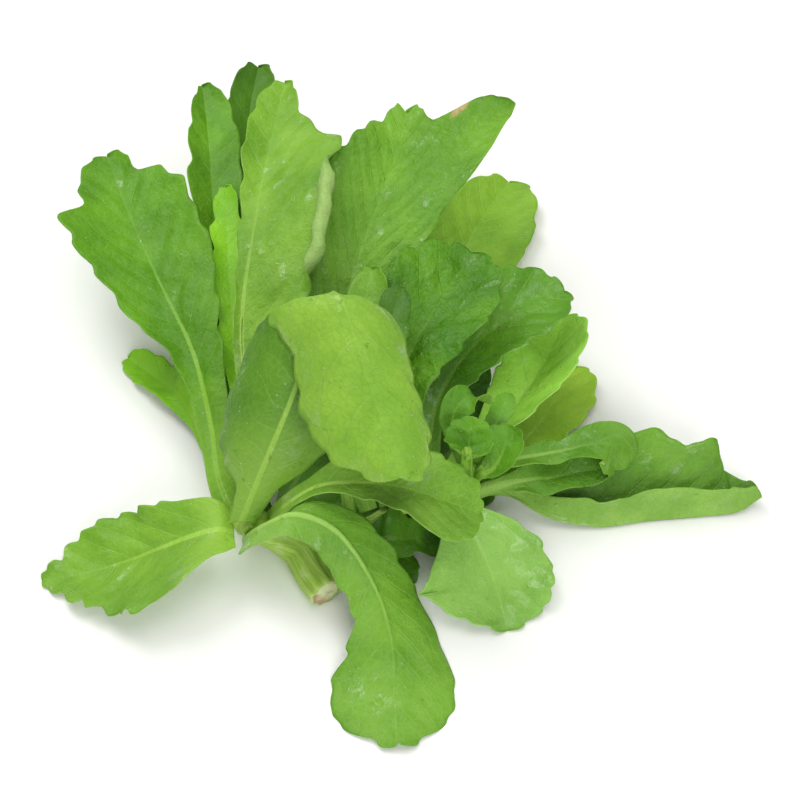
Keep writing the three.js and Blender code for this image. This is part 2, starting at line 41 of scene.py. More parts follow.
mapUnit = 100  # mm for one unit of the maps on a blade or a stalk
fullTurn = 2 * math.pi


# small helpers

def linearColour(hexText, alpha=1.0):
    parts = [int(hexText[i:i + 2], 16) / 255 for i in (1, 3, 5)]
    return [c / 12.92 if c <= 0.04045 else ((c + 0.055) / 1.055) ** 2.4 for c in parts] + [alpha]


def smooth(t):
    s = np.clip(t, 0, 1)
    return s * s * (3 - 2 * s)


def wander(a, b):
    value = np.sin(np.asarray(a) * 12.9898 + b * 78.233) * 43758.5453
    return value - np.floor(value)


def along(stops, share):
    # a number, or [share, value] stops blended softly from one to the next
    share = np.asarray(share, float)
    if isinstance(stops, (int, float)):
        return np.full(share.shape, float(stops))
    places = np.array([s[0] for s in stops], float)
    values = np.array([s[1] for s in stops], float)
    inside = np.clip(share, places[0], places[-1])
    i = np.clip(np.searchsorted(places, inside, side="left") - 1, 0, len(places) - 2)
    part = (inside - places[i]) / (places[i + 1] - places[i])
    return values[i] + (values[i + 1] - values[i]) * (part + smooth(part)) * 0.5


def unit(vectors):
    return vectors / np.maximum(np.linalg.norm(vectors, axis=-1, keepdims=True), 1e-9)


def ripples(x, y, size, seed):
    # a soft bumpy field between -1 and 1 whose bumps are about `size` across
    draw = np.random.default_rng(seed)
    total = np.zeros(np.broadcast(x, y).shape)
    for _ in range(7):
        heading, phase = draw.uniform(0, fullTurn), draw.uniform(0, fullTurn)
        stretch = draw.uniform(0.7, 1.5)
        pace = fullTurn / (size * 2 * stretch)
        total += np.sin(pace * (x * math.cos(heading) + y * math.sin(heading)) + phase)
    return total / 4.2


def curveThrough(route):
    # centripetal Catmull-Rom through the points, sampled densely by share of its length
    knots = np.array(route, float)
    padded = np.vstack([2 * knots[0] - knots[1], knots, 2 * knots[-1] - knots[-2]])
    dense = []
    for i in range(len(knots) - 1):
        p0, p1, p2, p3 = padded[i:i + 4]
        d0, d1, d2 = [max(np.sum((b - a) ** 2) ** 0.25, 1e-4) for a, b in ((p0, p1), (p1, p2), (p2, p3))]
        m1 = ((p1 - p0) / d0 - (p2 - p0) / (d0 + d1) + (p2 - p1) / d1) * d1
        m2 = ((p2 - p1) / d1 - (p3 - p1) / (d1 + d2) + (p3 - p2) / d2) * d1
        t = np.linspace(0, 1, 80, endpoint=False)[:, None]
        bend, twist = 3 * (p2 - p1) - 2 * m1 - m2, 2 * (p1 - p2) + m1 + m2
        dense.append(p1 + m1 * t + bend * t ** 2 + twist * t ** 3)
    dense = np.vstack(dense + [knots[-1:]])
    reach = np.concatenate([[0], np.cumsum(np.linalg.norm(np.diff(dense, axis=0), axis=1))])
    tangents = unit(np.gradient(dense, reach, axis=0))
    return dict(points=dense, tangents=tangents, share=reach / reach[-1], length=reach[-1])


def sampleCurve(curve, key, share):
    return np.stack([np.interp(share, curve["share"], curve[key][:, k]) for k in range(3)], axis=-1)


def meshObject(name, points, faces, maps=None, marks=None, material=None):
    # points in millimetres; maps are corner pairs made from point pairs, marks one number a point
    mesh = bpy.data.meshes.new(name)
    mesh.from_pydata((np.asarray(points) * mm).tolist(), [], faces)
    corners = np.empty(len(mesh.loops), int)
    mesh.loops.foreach_get("vertex_index", corners)
    for title, pairs in (maps or {}).items():
        layer = mesh.uv_layers.new(name=title)
        layer.data.foreach_set("uv", np.asarray(pairs, np.float32)[corners].ravel())
    for title, numbers in (marks or {}).items():
        mark = mesh.attributes.new(title, "FLOAT", "POINT")
        mark.data.foreach_set("value", np.asarray(numbers, np.float32).ravel())
    mesh.polygons.foreach_set("use_smooth", [True] * len(mesh.polygons))
    mesh.update()
    piece = bpy.data.objects.new(name, mesh)
    bpy.context.scene.collection.objects.link(piece)
    if material:
        mesh.materials.append(material)
    return piece


def gridFaces(rows, columns, start=0, flip=False):
    corner = start + (np.arange(rows - 1)[:, None] * columns + np.arange(columns - 1)[None, :]).ravel()
    quads = np.stack([corner, corner + 1, corner + columns + 1, corner + columns], axis=1)
    return (quads[:, ::-1] if flip else quads).tolist()


# camera, light and floor

view = dict(target=(42.35, 55.54, 38.89), lift=55, distance=800, lens=85, sensor=36)


def placeCamera():
    camera = bpy.data.objects.new("photoCamera", bpy.data.cameras.new("photoCamera"))
    bpy.context.scene.collection.objects.link(camera)
    camera.data.lens = view["lens"]
    camera.data.sensor_width = view["sensor"]
    camera.data.clip_end = 20
    lift = math.radians(view["lift"])
    target = Vector(view["target"]) * mm
    back = Vector((0, -math.cos(lift), math.sin(lift)))
    camera.location = target + back * view["distance"] * mm
    camera.rotation_euler = back.to_track_quat("Z", "Y").to_euler()
    bpy.context.scene.camera = camera


studio = dict(
    floor="#FCFCFA", room="#FFFFFF", roomStrength=0.40,
    lamps=[
        # name, place in mm, size in mm, watts, colour
        ("windowLight", (-420, 560, 900), 700, 6.0, "#FFFFFF"),
        ("topLight", (150, 120, 1100), 900, 4.0, "#FFFEFA"),
        ("frontFill", (300, -800, 500), 700, 4.4, "#FFFFFF"),
    ],
)


def buildStudio():
    # plain colours, as a camera's daylight setting gives
    bpy.context.scene.view_settings.view_transform = "Standard"
    world = bpy.data.worlds.new("studioRoom")
    bpy.context.scene.world = world
    world.use_nodes = True
    room = world.node_tree.nodes["Background"]
    room.inputs["Color"].default_value = linearColour(studio["room"])
    room.inputs["Strength"].default_value = studio["roomStrength"]
    aim = Vector((40, 50, 20)) * mm
    for name, place, size, watts, colour in studio["lamps"]:
        lamp = bpy.data.lights.new(name, "AREA")
        lamp.shape = "DISK"
        lamp.size = size * mm
        lamp.energy = watts
        lamp.color = linearColour(colour)[:3]
        holder = bpy.data.objects.new(name, lamp)
        holder.location = Vector(place) * mm
        holder.rotation_euler = (holder.location - aim).to_track_quat("Z", "Y").to_euler()
        bpy.context.scene.collection.objects.link(holder)
    # a wide pale sheet, a hair below the leaves that touch the table
    reach, drop = 3000, -0.15
    sheet = [(-reach, -reach, drop), (reach, -reach, drop), (reach, reach, drop), (-reach, reach, drop)]
    floor = meshObject("paleFloor", sheet, [(0, 1, 2, 3)], material=paleFloorMaterial())


# materials

def newMaterial(name):
    material = bpy.data.materials.new(name)
    material.use_nodes = True
    return material, material.node_tree, material.node_tree.nodes["Principled BSDF"]


def fillInputs(node, values):
    for place, value in values.items():
        if isinstance(value, bpy.types.NodeSocket):
            node.id_data.links.new(value, node.inputs[place])
        else:
            node.inputs[place].default_value = value


def addNode(tree, kind, links=None, give=0, **settings):
    # links are values or sockets for the inputs, in order or by number or name; settings are
    # the node's own switches; the output named by `give` comes back
    node = tree.nodes.new("ShaderNode" + kind)
    for key, value in settings.items():
        setattr(node, key, value)
    fillInputs(node, links if isinstance(links, dict) else dict(enumerate(links or [])))
    return node.outputs[give]


def paleFloorMaterial():
    # painted board: matt and nearly white, so only the soft shadow shows
    material, tree, surface = newMaterial("paleBoard")
    fillInputs(surface, {"Base Color": linearColour(studio["floor"]), "Roughness": 0.9})
    return material


# sizes in mm: the smallest cells between veins, the pebbled skin, its fine flecks and pores,
# the broad mottling, the blisters, the wet patches and the space between drops
leafFinish = dict(
    netCell=3.4, pebble=0.9, fine=2.2, pore=4.5, mottle=26, blister=5.5, wetPatch=11, beadSpacing=3.2,
    # the bead tint is a painted glint: a pale colour mixed onto the drops so they show as bright specks
    beadGlintTint="#E4F0D0", specular=0.3, roughness=0.5, wetRoughness=0.24, wetCoat=0.4,
    coatRoughness=0.16, bumpHeight=0.45, glowDepth=0.9,
)


def leafMaterial(name, look):
    # living leaf skin: a waxy green upper face with sunken veins, a paler matt face below
    # where they stand out, and a fleshy pale midrib. Where it is wet it shines in small spots,
    # and the drops carry a painted glint: their colour is mixed towards a pale tint.
    material, tree, surface = newMaterial(name)
    tint = {key: linearColour(look[key]) for key in ("upper", "shade", "lower", "lowerShade", "rib")}
    # painted glint on the drops: a pale tint
    tint["drop"] = linearColour(leafFinish["beadGlintTint"])
    blade = addNode(tree, "UVMap", give="UV", uv_map="bladeMap")
    vein = addNode(tree, "UVMap", give="UV", uv_map="veinMap")
    under, stalk, ribFade = [
        addNode(tree, "Attribute", give="Fac", attribute_name=mark)
        for mark in ("underside", "stalk", "ribFade")
    ]
    place = addNode(tree, "TexCoord", give="Object")

    # clouds of each size in mm, and cells for the pebbled skin, the net of veins and the drops
    cloud = {}
    for title, detail, roughness in (
        ("mottle", 3, 0.5), ("fine", 3, 0.5), ("pore", 4, 0.5), ("blister", 2, 0.5), ("wetPatch", 5, 0.7),
    ):
        cloud[title] = addNode(tree, "TexNoise", {
            "Vector": place, "Scale": metre / leafFinish[title], "Detail": detail, "Roughness": roughness,
        }, give="Fac")
    scale = metre / leafFinish["pebble"]
    pebble = addNode(tree, "TexVoronoi", {"Vector": place, "Scale": scale}, give="Distance")
    net = addNode(tree, "TexVoronoi", {
        "Vector": blade, "Scale": mapUnit / leafFinish["netCell"], "Randomness": 0.9,
    }, give="Distance", feature="DISTANCE_TO_EDGE")
    scale = metre / leafFinish["beadSpacing"]
    beadDistance, beadColour = [
        addNode(tree, "TexVoronoi", {"Vector": place, "Scale": scale}, give=output)
        for output in ("Distance", "Color")
    ]
    beadPick = addNode(tree, "SeparateColor", [beadColour])

    # side veins run where the first number of veinMap is whole; they thin towards the margin
    fromVein = addNode(tree, "Math", [addNode(tree, "SeparateXYZ", [vein]), 0.5], operation="PINGPONG")
    fromRib = addNode(tree, "SeparateXYZ", [vein], give=1)
    outward = addNode(tree, "Math", [addNode(tree, "SeparateXYZ", [blade])], operation="ABSOLUTE")
    mask = {}
    for title, source, low, high, first, last in (
        # a mask goes softly from its first to its last value while its source goes from low to high
        ("upperPatch", cloud["mottle"], 0.32, 0.68, 0, 1),
        ("lowerPatch", cloud["mottle"], 0.3, 0.7, 0, 1),
        ("net", net, 0.02, 0.14, 1, 0),
        ("vein", fromVein, 0.012, 0.055, 1, 0),
        ("inner", outward, 0.08, 0.3, 1, 0),
        ("rib", fromRib, 0.55, 1.25, 1, 0),
        ("fleck", cloud["fine"], 0.6, 0.72, 0, 1),
        ("pore", cloud["pore"], 0.66, 0.74, 0, 1),
        ("bead", beadDistance, 0.06, 0.2, 1, 0),
        ("beadHere", beadPick, 0.93 - look["wet"], 0.96 - look["wet"], 0, 1),
        ("wetPatch", cloud["wetPatch"], 0.68 - look["wet"], 0.76 - look["wet"], 0, 1),
    ):
        values = [source, low, high, first, last]
        mask[title] = addNode(tree, "MapRange", values, interpolation_type="SMOOTHSTEP")
    for title, first, second in (
        ("sideVein", mask["vein"], mask["inner"]), ("drop", mask["bead"], mask["beadHere"]),
        ("midrib", mask["rib"], ribFade), ("stalk", stalk, 0.6),
    ):
        mask[title] = addNode(tree, "Math", [first, second], operation="MULTIPLY")
    mask["midrib"] = addNode(tree, "Math", [mask["midrib"], mask["stalk"]], operation="MAXIMUM")

    # both faces, then what lies over both: midrib, paler specks, dark pores and a painted glint on the drops
    face = {}
    for side, patch, dark, light, layers in (
        ("upper", "upperPatch", "shade", "upper", (("net", 0.1, "rib"), ("sideVein", 0.16, "rib"))),
        ("lower", "lowerPatch", "lowerShade", "lower", (("net", 0.12, "shade"), ("sideVein", 0.22, "rib"))),
    ):
        face[side] = addNode(
            tree, "Mix", {0: mask[patch], 6: tint[dark], 7: tint[light]}, give=2, data_type="RGBA",
        )
        for title, strength, over in layers:
            amount = addNode(tree, "Math", [mask[title], strength], operation="MULTIPLY")
            face[side] = addNode(
                tree, "Mix", {0: amount, 6: face[side], 7: tint[over]}, give=2, data_type="RGBA",
            )
    colour = addNode(tree, "Mix", {0: under, 6: face["upper"], 7: face["lower"]}, give=2, data_type="RGBA")
    # the drops' layer is a painted glint, a quarter of the way to the pale bead tint
    layers = [("midrib", 1, "rib"), ("fleck", 0.25, "upper"), ("pore", 0.5, "shade"), ("drop", 0.25, "drop")]
    if "edgeSpot" in look:
        # a small brown dead patch on the margin, with a broken edge
        spot = look["edgeSpot"]
        wide = spot["radius"] / mapUnit
        fromSpot = addNode(tree, "VectorMath", [blade, spot["place"]], give="Value", operation="DISTANCE")
        near, broken = [
            addNode(tree, "MapRange", values, interpolation_type="SMOOTHSTEP")
            for values in ([fromSpot, wide * 0.4, wide, 1, 0], [cloud["pore"], 0.35, 0.55])
        ]
        mask["spot"] = addNode(tree, "Math", [near, broken], operation="MULTIPLY")
        tint["spot"] = linearColour(spot["colour"])
        layers.append(("spot", 1, "spot"))
    for title, strength, over in layers:
        amount = addNode(tree, "Math", [mask[title], strength], operation="MULTIPLY")
        colour = addNode(tree, "Mix", {0: amount, 6: colour, 7: tint[over]}, give=2, data_type="RGBA")

    # veins are sunk above and raised below; the rest stands up on both faces
    veins = addNode(tree, "Math", [mask["sideVein"], 0.5], operation="MULTIPLY")
    veins = addNode(tree, "Math", [mask["net"], 0.22, veins], operation="MULTIPLY_ADD")
    upOrDown = addNode(tree, "Math", [under, 2, -1], operation="MULTIPLY_ADD")
    height = addNode(tree, "Math", [veins, upOrDown], operation="MULTIPLY")
    rises = (pebble, 0.28), (cloud["fine"], 0.6), (cloud["blister"], look["blistered"]), (mask["drop"], 1.6)
    for source, rise in rises:
        height = addNode(tree, "Math", [source, rise, height], operation="MULTIPLY_ADD")
    normal = addNode(tree, "Bump", {
        "Height": height, "Distance": leafFinish["bumpHeight"] * mm, "Strength": look["relief"],
    })
    wet = addNode(tree, "Math", [mask["wetPatch"], mask["drop"]], operation="MAXIMUM")
    dry = addNode(tree, "Math", [under, 0.1, leafFinish["roughness"]], operation="MULTIPLY_ADD")
    rough = addNode(tree, "MapRange", [wet, 0, 1, dry, leafFinish["wetRoughness"]])
    coat = addNode(tree, "Math", [wet, leafFinish["wetCoat"]], operation="MULTIPLY")
    fillInputs(surface, {
        "Base Color": colour, "Normal": normal, "Roughness": rough, "Coat Weight": coat,
        "Specular IOR Level": leafFinish["specular"], "Coat Roughness": leafFinish["coatRoughness"],
        "Subsurface Weight": 0.12, "Subsurface Radius": (0.5, 1.0, 0.15),
        "Subsurface Scale": leafFinish["glowDepth"] * mm,
    })
    return material


# leaves

plainLeaf = dict(
    stalk=5, stalkEnd=0.2, wide=0.68, fold=[12, 12], cup=14, curl=[0, 0], curlFrom=0.55, roll=0, sweep=0.28,
    wave=[1.5, 3, 0], teeth=6, bite=2.4, columns=[-1, -0.66, -0.33, 0, 0.33, 0.66, 1], settles=True,
    carries=True, droops=False, crinkle=0.6, ruffle=0.9, flipped=False, inHeart=False,
)
fewColumns = [-1, -0.5, 0, 0.5, 1]
heartLeaf = dict(
    look="heart", inHeart=True, crinkle=0.3, ruffle=0.5, wave=[0.5, 2, 0], stalk=2.2, teeth=3, bite=1.2,
    columns=fewColumns,
)
blade = dict(
    thickness=0.8, stalkEdge=1.3, ribDepth=2.2, end=0.985, gap=1.1,
    spring=0.97, springRounds=60, fleshyUntil=0.5, fineEdge=0.45, fineRows=170, fineColumns=41,
    tipRows=9, tipLeast=0.03, soften=(-0.012, -0.006, 0, 0.006, 0.012), nick=0.14,
    veinSpacing=12.5, quilt=0.26, crinkleSize=16, puckerSize=6, ruffleSize=9,
)
tableTop = -0.1  # nothing reaches lower than this

# upper and lower are the two faces, shade their darker patches, rib the midrib and stalk;
# wet is how much of the face shines, relief how strong the small bumps are
plainLook = dict(slot="leaf_green", wet=0.1, relief=0.55, blistered=3.4)
looks = dict(
    fresh=dict(upper="#7DAE2E", shade="#64981F", lower="#9DBE6A", lowerShade="#86AC55", rib="#9CC652"),
    topRight=dict(
        relief=0.75, blistered=5,
        upper="#70A626", shade="#588E1A", lower="#8DB45C", lowerShade="#779E48", rib="#8AB846",
        edgeSpot=dict(place=(0.24, 1.66, 0), radius=5, colour="#B9A06A"),
    ),
    front=dict(
        upper="#86B83E", shade="#6A9E28", lower="#AFD07E", lowerShade="#98BC68", rib="#B0DA5C", wet=0.16,
    ),
    frontLeaf=dict(
        upper="#74A830", shade="#5F9424", lower="#A3C478", lowerShade="#8CB25F", rib="#9CC85C", wet=0.14,
    ),
    leftLow=dict(
        upper="#7CAE30", shade="#689C24", lower="#A3C478", lowerShade="#8CB25F", rib="#9CC848", wet=0.16,
    ),
    arched=dict(
        upper="#5D9020", shade="#467A14", lower="#8CB93A", lowerShade="#76A82E", rib="#96C04C", wet=0.16,
    ),
    left=dict(
        upper="#659F16", shade="#4F870E", lower="#93B75C", lowerShade="#7CA448", rib="#8DBC40", wet=0.06,
    ),
    leftSmall=dict(
        upper="#92D226", shade="#78BA1A", lower="#93B75C", lowerShade="#7CA448", rib="#98C440", wet=0.04,
    ),
    dark=dict(
        slot="leaf_dark", wet=0.04,
        upper="#4E8212", shade="#3A6A0A", lower="#7DA04E", lowerShade="#688C3D", rib="#6C9636",
    ),
    crumpled=dict(
        slot="leaf_dark", wet=0.12, relief=0.9, blistered=6,
        upper="#5C9416", shade="#427A0A", lower="#8FB05C", lowerShade="#7A9C48", rib="#73A034",
    ),
    folded=dict(
        slot="leaf_dark", wet=0.1, relief=0.7,
        upper="#9ED84A", shade="#84BE36", lower="#B4D080", lowerShade="#9CBE66", rib="#A0C858",
    ),
    glossy=dict(
        upper="#609822", shade="#4A8216", lower="#9DBE6A", lowerShade="#86AC55", rib="#80AE46", wet=0.2,
    ),
    yellow=dict(
        slot="leaf_pale", wet=0.05,
        upper="#A8D23A", shade="#8EBE2C", lower="#A0BC5C", lowerShade="#8AA94A", rib="#B8DA60",
    ),
    yellowTop=dict(
        slot="leaf_pale", wet=0.05,
        upper="#84B42E", shade="#689A20", lower="#A9C36A", lowerShade="#93B257", rib="#9CC450",
    ),
    pale=dict(
        slot="leaf_pale", wet=0.14,
        upper="#6A9E28", shade="#558A1C", lower="#8FBC50", lowerShade="#78A73E", rib="#90BA50",
    ),
    frontPale=dict(
        slot="leaf_pale", wet=0.18,
        upper="#92C458", shade="#7CB046", lower="#A6CC7C", lowerShade="#90B866", rib="#A8D070",
    ),
    heart=dict(
        slot="heart_leaf", wet=0.06,
        upper="#66A01E", shade="#4E8614", lower="#86B044", lowerShade="#719E36", rib="#84B23C",
    ),
)
looks = {name: dict(plainLook, **look) for name, look in looks.items()}

# the leaves in the order in which they lie on each other, the lowest first. Spines run from
# base to tip; outlines are [share of the length, mm from the midrib]; angles are degrees
leaves = [
    dict(
        name="leaf_front", look="frontLeaf", flipped=True, carries=False, turn=45, teeth=7, cup=8,
        spine=[
            [-21, -1, 17], [-12, -6, 36], [1, -5, 44], [16, -9, 39],
            [32, -25, 20], [39, -44, 6], [40, -66, 2], [41, -84, 1],
        ],
        left=[[0, 7], [0.25, 10], [0.45, 13], [0.6, 14], [0.7, 20], [0.8, 28], [0.9, 25], [1, 6]],
        right=[
            [0, 5], [0.15, 6], [0.27, 9], [0.4, 16], [0.5, 19],
            [0.6, 21], [0.7, 24], [0.8, 28], [0.9, 25], [1, 8],
        ],
    ),
    dict(
        name="leaf_back_under", look="dark",
        spine=[[-14, 14, 6], [-25, 40, 7], [-34, 77, 6], [-39, 124, 4], [-43, 160, 1], [-45, 188, 0]],
        half=[20, 22], wide=0.62,
    ),
    dict(
        name="leaf_low_centre", look="dark",
        spine=[[-8, 15, 6], [10, 22, 5], [36, 28, 4], [62, 38, 2], [86, 52, 1]],
        half=[24, 21], stalkEnd=0.12, wide=0.55, fold=[8, 0], cup=4, wave=[1, 3, 0], teeth=5,
    ),
    dict(
        name="leaf_low_back", look="dark",
        spine=[[-7, 14.5, 12], [-3, 32, 8], [7, 56, 5], [22, 84, 2]],
        half=[13, 15], stalkEnd=0.12, wide=0.62, teeth=4, columns=fewColumns,
    ),
    dict(
        name="leaf_left_small", look="leftSmall",
        spine=[[-24, 9, 9], [-33, 27, 7], [-42, 51, 4], [-53, 75, 2], [-65, 90, 1], [-81, 105, 0]],
        half=[10, 11], stalk=2.4, stalkEnd=0.5, wide=0.8, teeth=4, bite=2, columns=fewColumns,
    ),
    dict(
        name="leaf_right_low", look="yellowTop",
        spine=[[38, 19, 12], [43, 54, 9], [52, 105, 7], [68, 155, 3], [83, 191, 1], [94, 210, 0]],
        half=[22, 30], wide=0.74, roll=-6,
    ),
    dict(
        name="leaf_right_under", look="dark",
        spine=[[47, 24, 10], [55, 42, 7], [63, 66, 4], [72, 98, 2]],
        half=[18, 18], stalk=3.4, stalkEnd=0.12, wide=0.6, teeth=4, columns=fewColumns,
    ),
    dict(
        name="leaf_right_yellow", look="yellow",
        spine=[[58, 25, 14], [72, 37, 11], [90, 50, 7], [103, 66, 4], [113, 84, 1], [121, 99, 0]],
        half=[16, 19], wide=0.7, teeth=5,
    ),
    dict(
        name="leaf_right_inner", look="dark",
        spine=[[51, 23, 14], [61, 38, 18], [75, 55, 20], [88, 69, 21]],
        half=[12, 11], stalk=3, teeth=4, columns=fewColumns,
    ),
    dict(
        name="leaf_top_dark", look="dark",
        spine=[
            [-18, 15, 11], [-22, 40, 15], [-26, 79, 18], [-29, 131, 24],
            [-30, 184, 32], [-29, 224, 38], [-26, 251, 40],
        ],
        half=[17, 16], wide=0.72, fold=[35, 10],
    ),
    dict(
        name="leaf_top_left", look="left",
        spine=[
            [-23, 13, 15], [-28, 40, 20], [-33, 74, 26], [-39, 119, 34],
            [-43, 165, 42], [-47, 202, 48], [-51, 227, 52],
        ],
        left=[[0, 4], [0.25, 5], [0.45, 11], [0.6, 13], [0.8, 14], [0.9, 11], [1, 2]],
        right=[[0, 4], [0.25, 5], [0.45, 10], [0.6, 13], [0.8, 15.5], [0.9, 14], [0.96, 9], [1, 2]],
        fold=[38, 6],
    ),
    dict(
        name="leaf_inner_narrow", look="leftSmall",
        spine=[
            [-19, 13.5, 21], [-23, 44, 28], [-29, 85, 34],
            [-33, 120, 40], [-36, 154, 44], [-37, 168, 46],
        ],
        half=[9, 9], wide=0.7, stalk=3, columns=fewColumns,
    ),
    dict(
        name="leaf_left_large", look="left", teeth=8, bite=3,
        spine=[
            [-27, 9, 18], [-34, 26, 22], [-38, 49, 26], [-47, 82, 32],
            [-63, 116, 38], [-80, 154, 44], [-92, 185, 48],
        ],
        left=[
            [0, 6], [0.12, 5], [0.3, 7], [0.4, 11], [0.5, 21], [0.6, 26], [0.7, 32], [0.79, 34],
            [0.84, 20], [0.9, 20], [0.96, 14], [1, 3],
        ],
        right=[
            [0, 6], [0.1, 8], [0.3, 10], [0.4, 15], [0.5, 24], [0.6, 29],
            [0.8, 30], [0.88, 22], [0.92, 11], [0.97, 9], [1, 3],
        ],
    ),
    dict(
        name="leaf_right_folded", look="folded", crinkle=0.5,
        spine=[[62, 26, 19], [71, 39, 22], [84, 51, 25], [97, 68, 27], [108, 87, 30], [114, 103, 31]],
        half=[19, 22], wide=0.68, fold=[10, 34], teeth=5,
    ),
    dict(
        name="leaf_right_glossy", look="glossy", crinkle=0.9,
        spine=[[55, 24, 21], [57, 52, 35], [72, 79, 42], [92, 95, 46], [112, 106, 47]],
        half=[22, 20], wide=0.74, teeth=5,
    ),
    dict(
        name="leaf_top_right", look="topRight", crinkle=0.9, sweep=1.2, teeth=7,
        bite=1.2, fold=[12, 0], cup=8,
        spine=[
            [29, 14, 17], [17, 44, 34], [16, 80, 48], [25, 118, 60],
            [36, 149, 70], [43, 173, 75], [45, 187, 76],
        ],
        left=[
            [0, 4], [0.15, 7], [0.32, 22], [0.5, 31], [0.62, 29],
            [0.73, 22], [0.82, 17], [0.93, 9], [1, 4],
        ],
        right=[
            [0, 4], [0.15, 8], [0.28, 20], [0.43, 26], [0.58, 28], [0.65, 39], [0.7, 48], [0.74, 49],
            [0.785, 45], [0.835, 38], [0.871, 29], [0.89, 15], [0.94, 9], [1, 4],
        ],
    ),
    dict(
        name="leaf_right_dark", look="crumpled", crinkle=1.5,
        spine=[[46, 22, 20], [44, 41, 37], [44, 63, 50], [57, 89, 58], [72, 114, 62]],
        half=[26, 26], wide=0.72, teeth=5,
    ),
    dict(
        name="leaf_top_centre", look="fresh", ruffle=0.2, crinkle=0.45, teeth=7, bite=2,
        spine=[[-19, 12, 27], [-22, 53, 42], [-25, 83, 52], [-20, 134, 62], [-15, 174, 70], [-10, 207, 74]],
        left=[[0, 4], [0.4, 4], [0.6, 8], [0.8, 13], [0.92, 12], [1, 4]],
        right=[
            [0, 4], [0.25, 6], [0.42, 34], [0.47, 46], [0.64, 46],
            [0.7, 37], [0.77, 35], [0.83, 21], [0.9, 12], [1, 4],
        ],
        curl=[0, [[0.4, 0], [0.46, 165], [0.64, 165], [0.74, 0]]], curlFrom=0.68,
        columns=[-1, -0.5, 0, 0.36, 0.66, 0.82, 1],
    ),
    dict(
        name="young_leaf_centre", look="fresh",
        spine=[[22, 9, 17], [19, 24, 33], [21, 49, 48], [26, 77, 60], [30, 102, 68]],
        half=[10, 12], stalk=2.4, wide=0.7, teeth=4, bite=1.8, columns=fewColumns,
    ),
    dict(
        name="young_leaf_right", look="dark",
        spine=[[36, 15, 19], [33, 27, 34], [33, 48, 50], [38, 71, 60], [42, 91, 64]],
        half=[9, 9], stalk=2.4, wide=0.7, teeth=4, bite=1.8, columns=fewColumns,
    ),
    dict(
        name="leaf_left_front", look="leftLow", teeth=7, bite=3, stalkEnd=0.05,
        spine=[[-27, 2, 19], [-36, 1, 21], [-54, -1, 14], [-71, -3, 5], [-90, -7, 1], [-107, -10, 0]],
        left=[
            [0, 9], [0.08, 14], [0.2, 28], [0.35, 35], [0.5, 33],
            [0.6, 29], [0.7, 23], [0.8, 19], [0.9, 11], [1, 4],
        ],
        right=[
            [0, 9], [0.1, 15], [0.2, 17], [0.3, 20], [0.5, 22.5],
            [0.6, 21], [0.7, 18.5], [0.8, 16], [0.9, 10], [1, 3],
        ],
    ),
    dict(
        name="leaf_far_right", look="pale", ruffle=0.4, bite=1.2, fold=[28, 105], cup=6, teeth=6,
        spine=[
            [67, 20, 15], [77, 24, 11], [90, 25, 7], [106, 18, 3], [128, 16, 1],
            [149, 19, 1], [171, 21, 1], [188, 23, 2], [196, 27, 5],
        ],
        left=[
            [0, 4], [0.2, 12], [0.38, 30], [0.5, 38], [0.6, 41], [0.67, 35], [0.72, 30],
            [0.79, 34], [0.85, 32], [0.89, 27], [0.93, 20], [0.97, 12], [1, 6],
        ],
        right=[[0, 4], [0.2, 10], [0.4, 15], [0.7, 17], [0.9, 15], [1, 6]],
    ),
    dict(
        name="leaf_right_strip", look="pale",
        spine=[[70, 18, 20], [80, 22, 17], [93, 26, 15], [115, 31, 16], [133, 34, 18]],
        half=[8, 10], stalk=2.4, wide=0.6, teeth=3, bite=1, columns=fewColumns,
    ),
    dict(
        name="leaf_front_under", look="dark",
        spine=[[30, 9, 6], [38, 5, 6], [43, -4, 4], [45, -13, 1]],
        half=[7, 7], stalk=2.2, wide=0.65, teeth=3, bite=1.2, columns=fewColumns,
    ),
    dict(
        name="leaf_front_low", look="dark",
        spine=[[14, -5, 6], [27, 0, 5], [44, 3, 3], [63, 6, 1]],
        half=[11, 10], stalk=2.6, stalkEnd=0.15, wide=0.6, teeth=4, bite=1.4, columns=fewColumns,
    ),
    dict(
        name="leaf_right_front", look="frontPale", teeth=6, bite=1.6,
        spine=[[51, 15, 16], [59, 16, 18], [71, 7, 14], [81, -10, 4], [86, -31, 0]],
        left=[[0, 4], [0.2, 4], [0.3, 8], [0.4, 18], [0.5, 25], [0.65, 26], [0.78, 23], [0.9, 18], [1, 7]],
        right=[[0, 4], [0.2, 10], [0.33, 30], [0.48, 39], [0.62, 37], [0.78, 28], [0.9, 18], [1, 6]],
    ),
    dict(
        name="leaf_right_curled", look="pale",
        spine=[
            [72, 26, 23], [80, 31, 25], [93, 34, 25], [110, 37, 26],
            [123, 39, 27], [132, 38, 25], [133, 32, 17],
        ],
        left=[[0, 3], [0.3, 4], [0.55, 6], [0.7, 9], [0.85, 12], [0.95, 10], [1, 5]],
        right=[[0, 3], [0.3, 5], [0.55, 7], [0.7, 9], [0.85, 12], [0.95, 10], [1, 5]],
        teeth=3, bite=1, columns=fewColumns, turn=[[0.6, -80], [0.95, -140]],
    ),
    dict(
        name="leaf_centre_front", look="front", bite=1.6,
        spine=[[-12, 7, 19], [-4, 6, 34], [9, 7.5, 46], [24, 7, 50], [42, 5, 50], [59, 2, 45], [74, 0, 38]],
        left=[[0, 5], [0.3, 5], [0.5, 16], [0.7, 18], [0.85, 17], [0.94, 14], [1, 4]],
        right=[
            [0, 5], [0.3, 5], [0.45, 8], [0.56, 12], [0.63, 16],
            [0.72, 21], [0.8, 23], [0.9, 20], [0.95, 14], [1, 3],
        ],
    ),
    dict(
        heartLeaf, name="heart_leaf_back",
        spine=[[72, 24, 29], [77, 31, 38], [83, 42, 43], [88, 54, 45]],
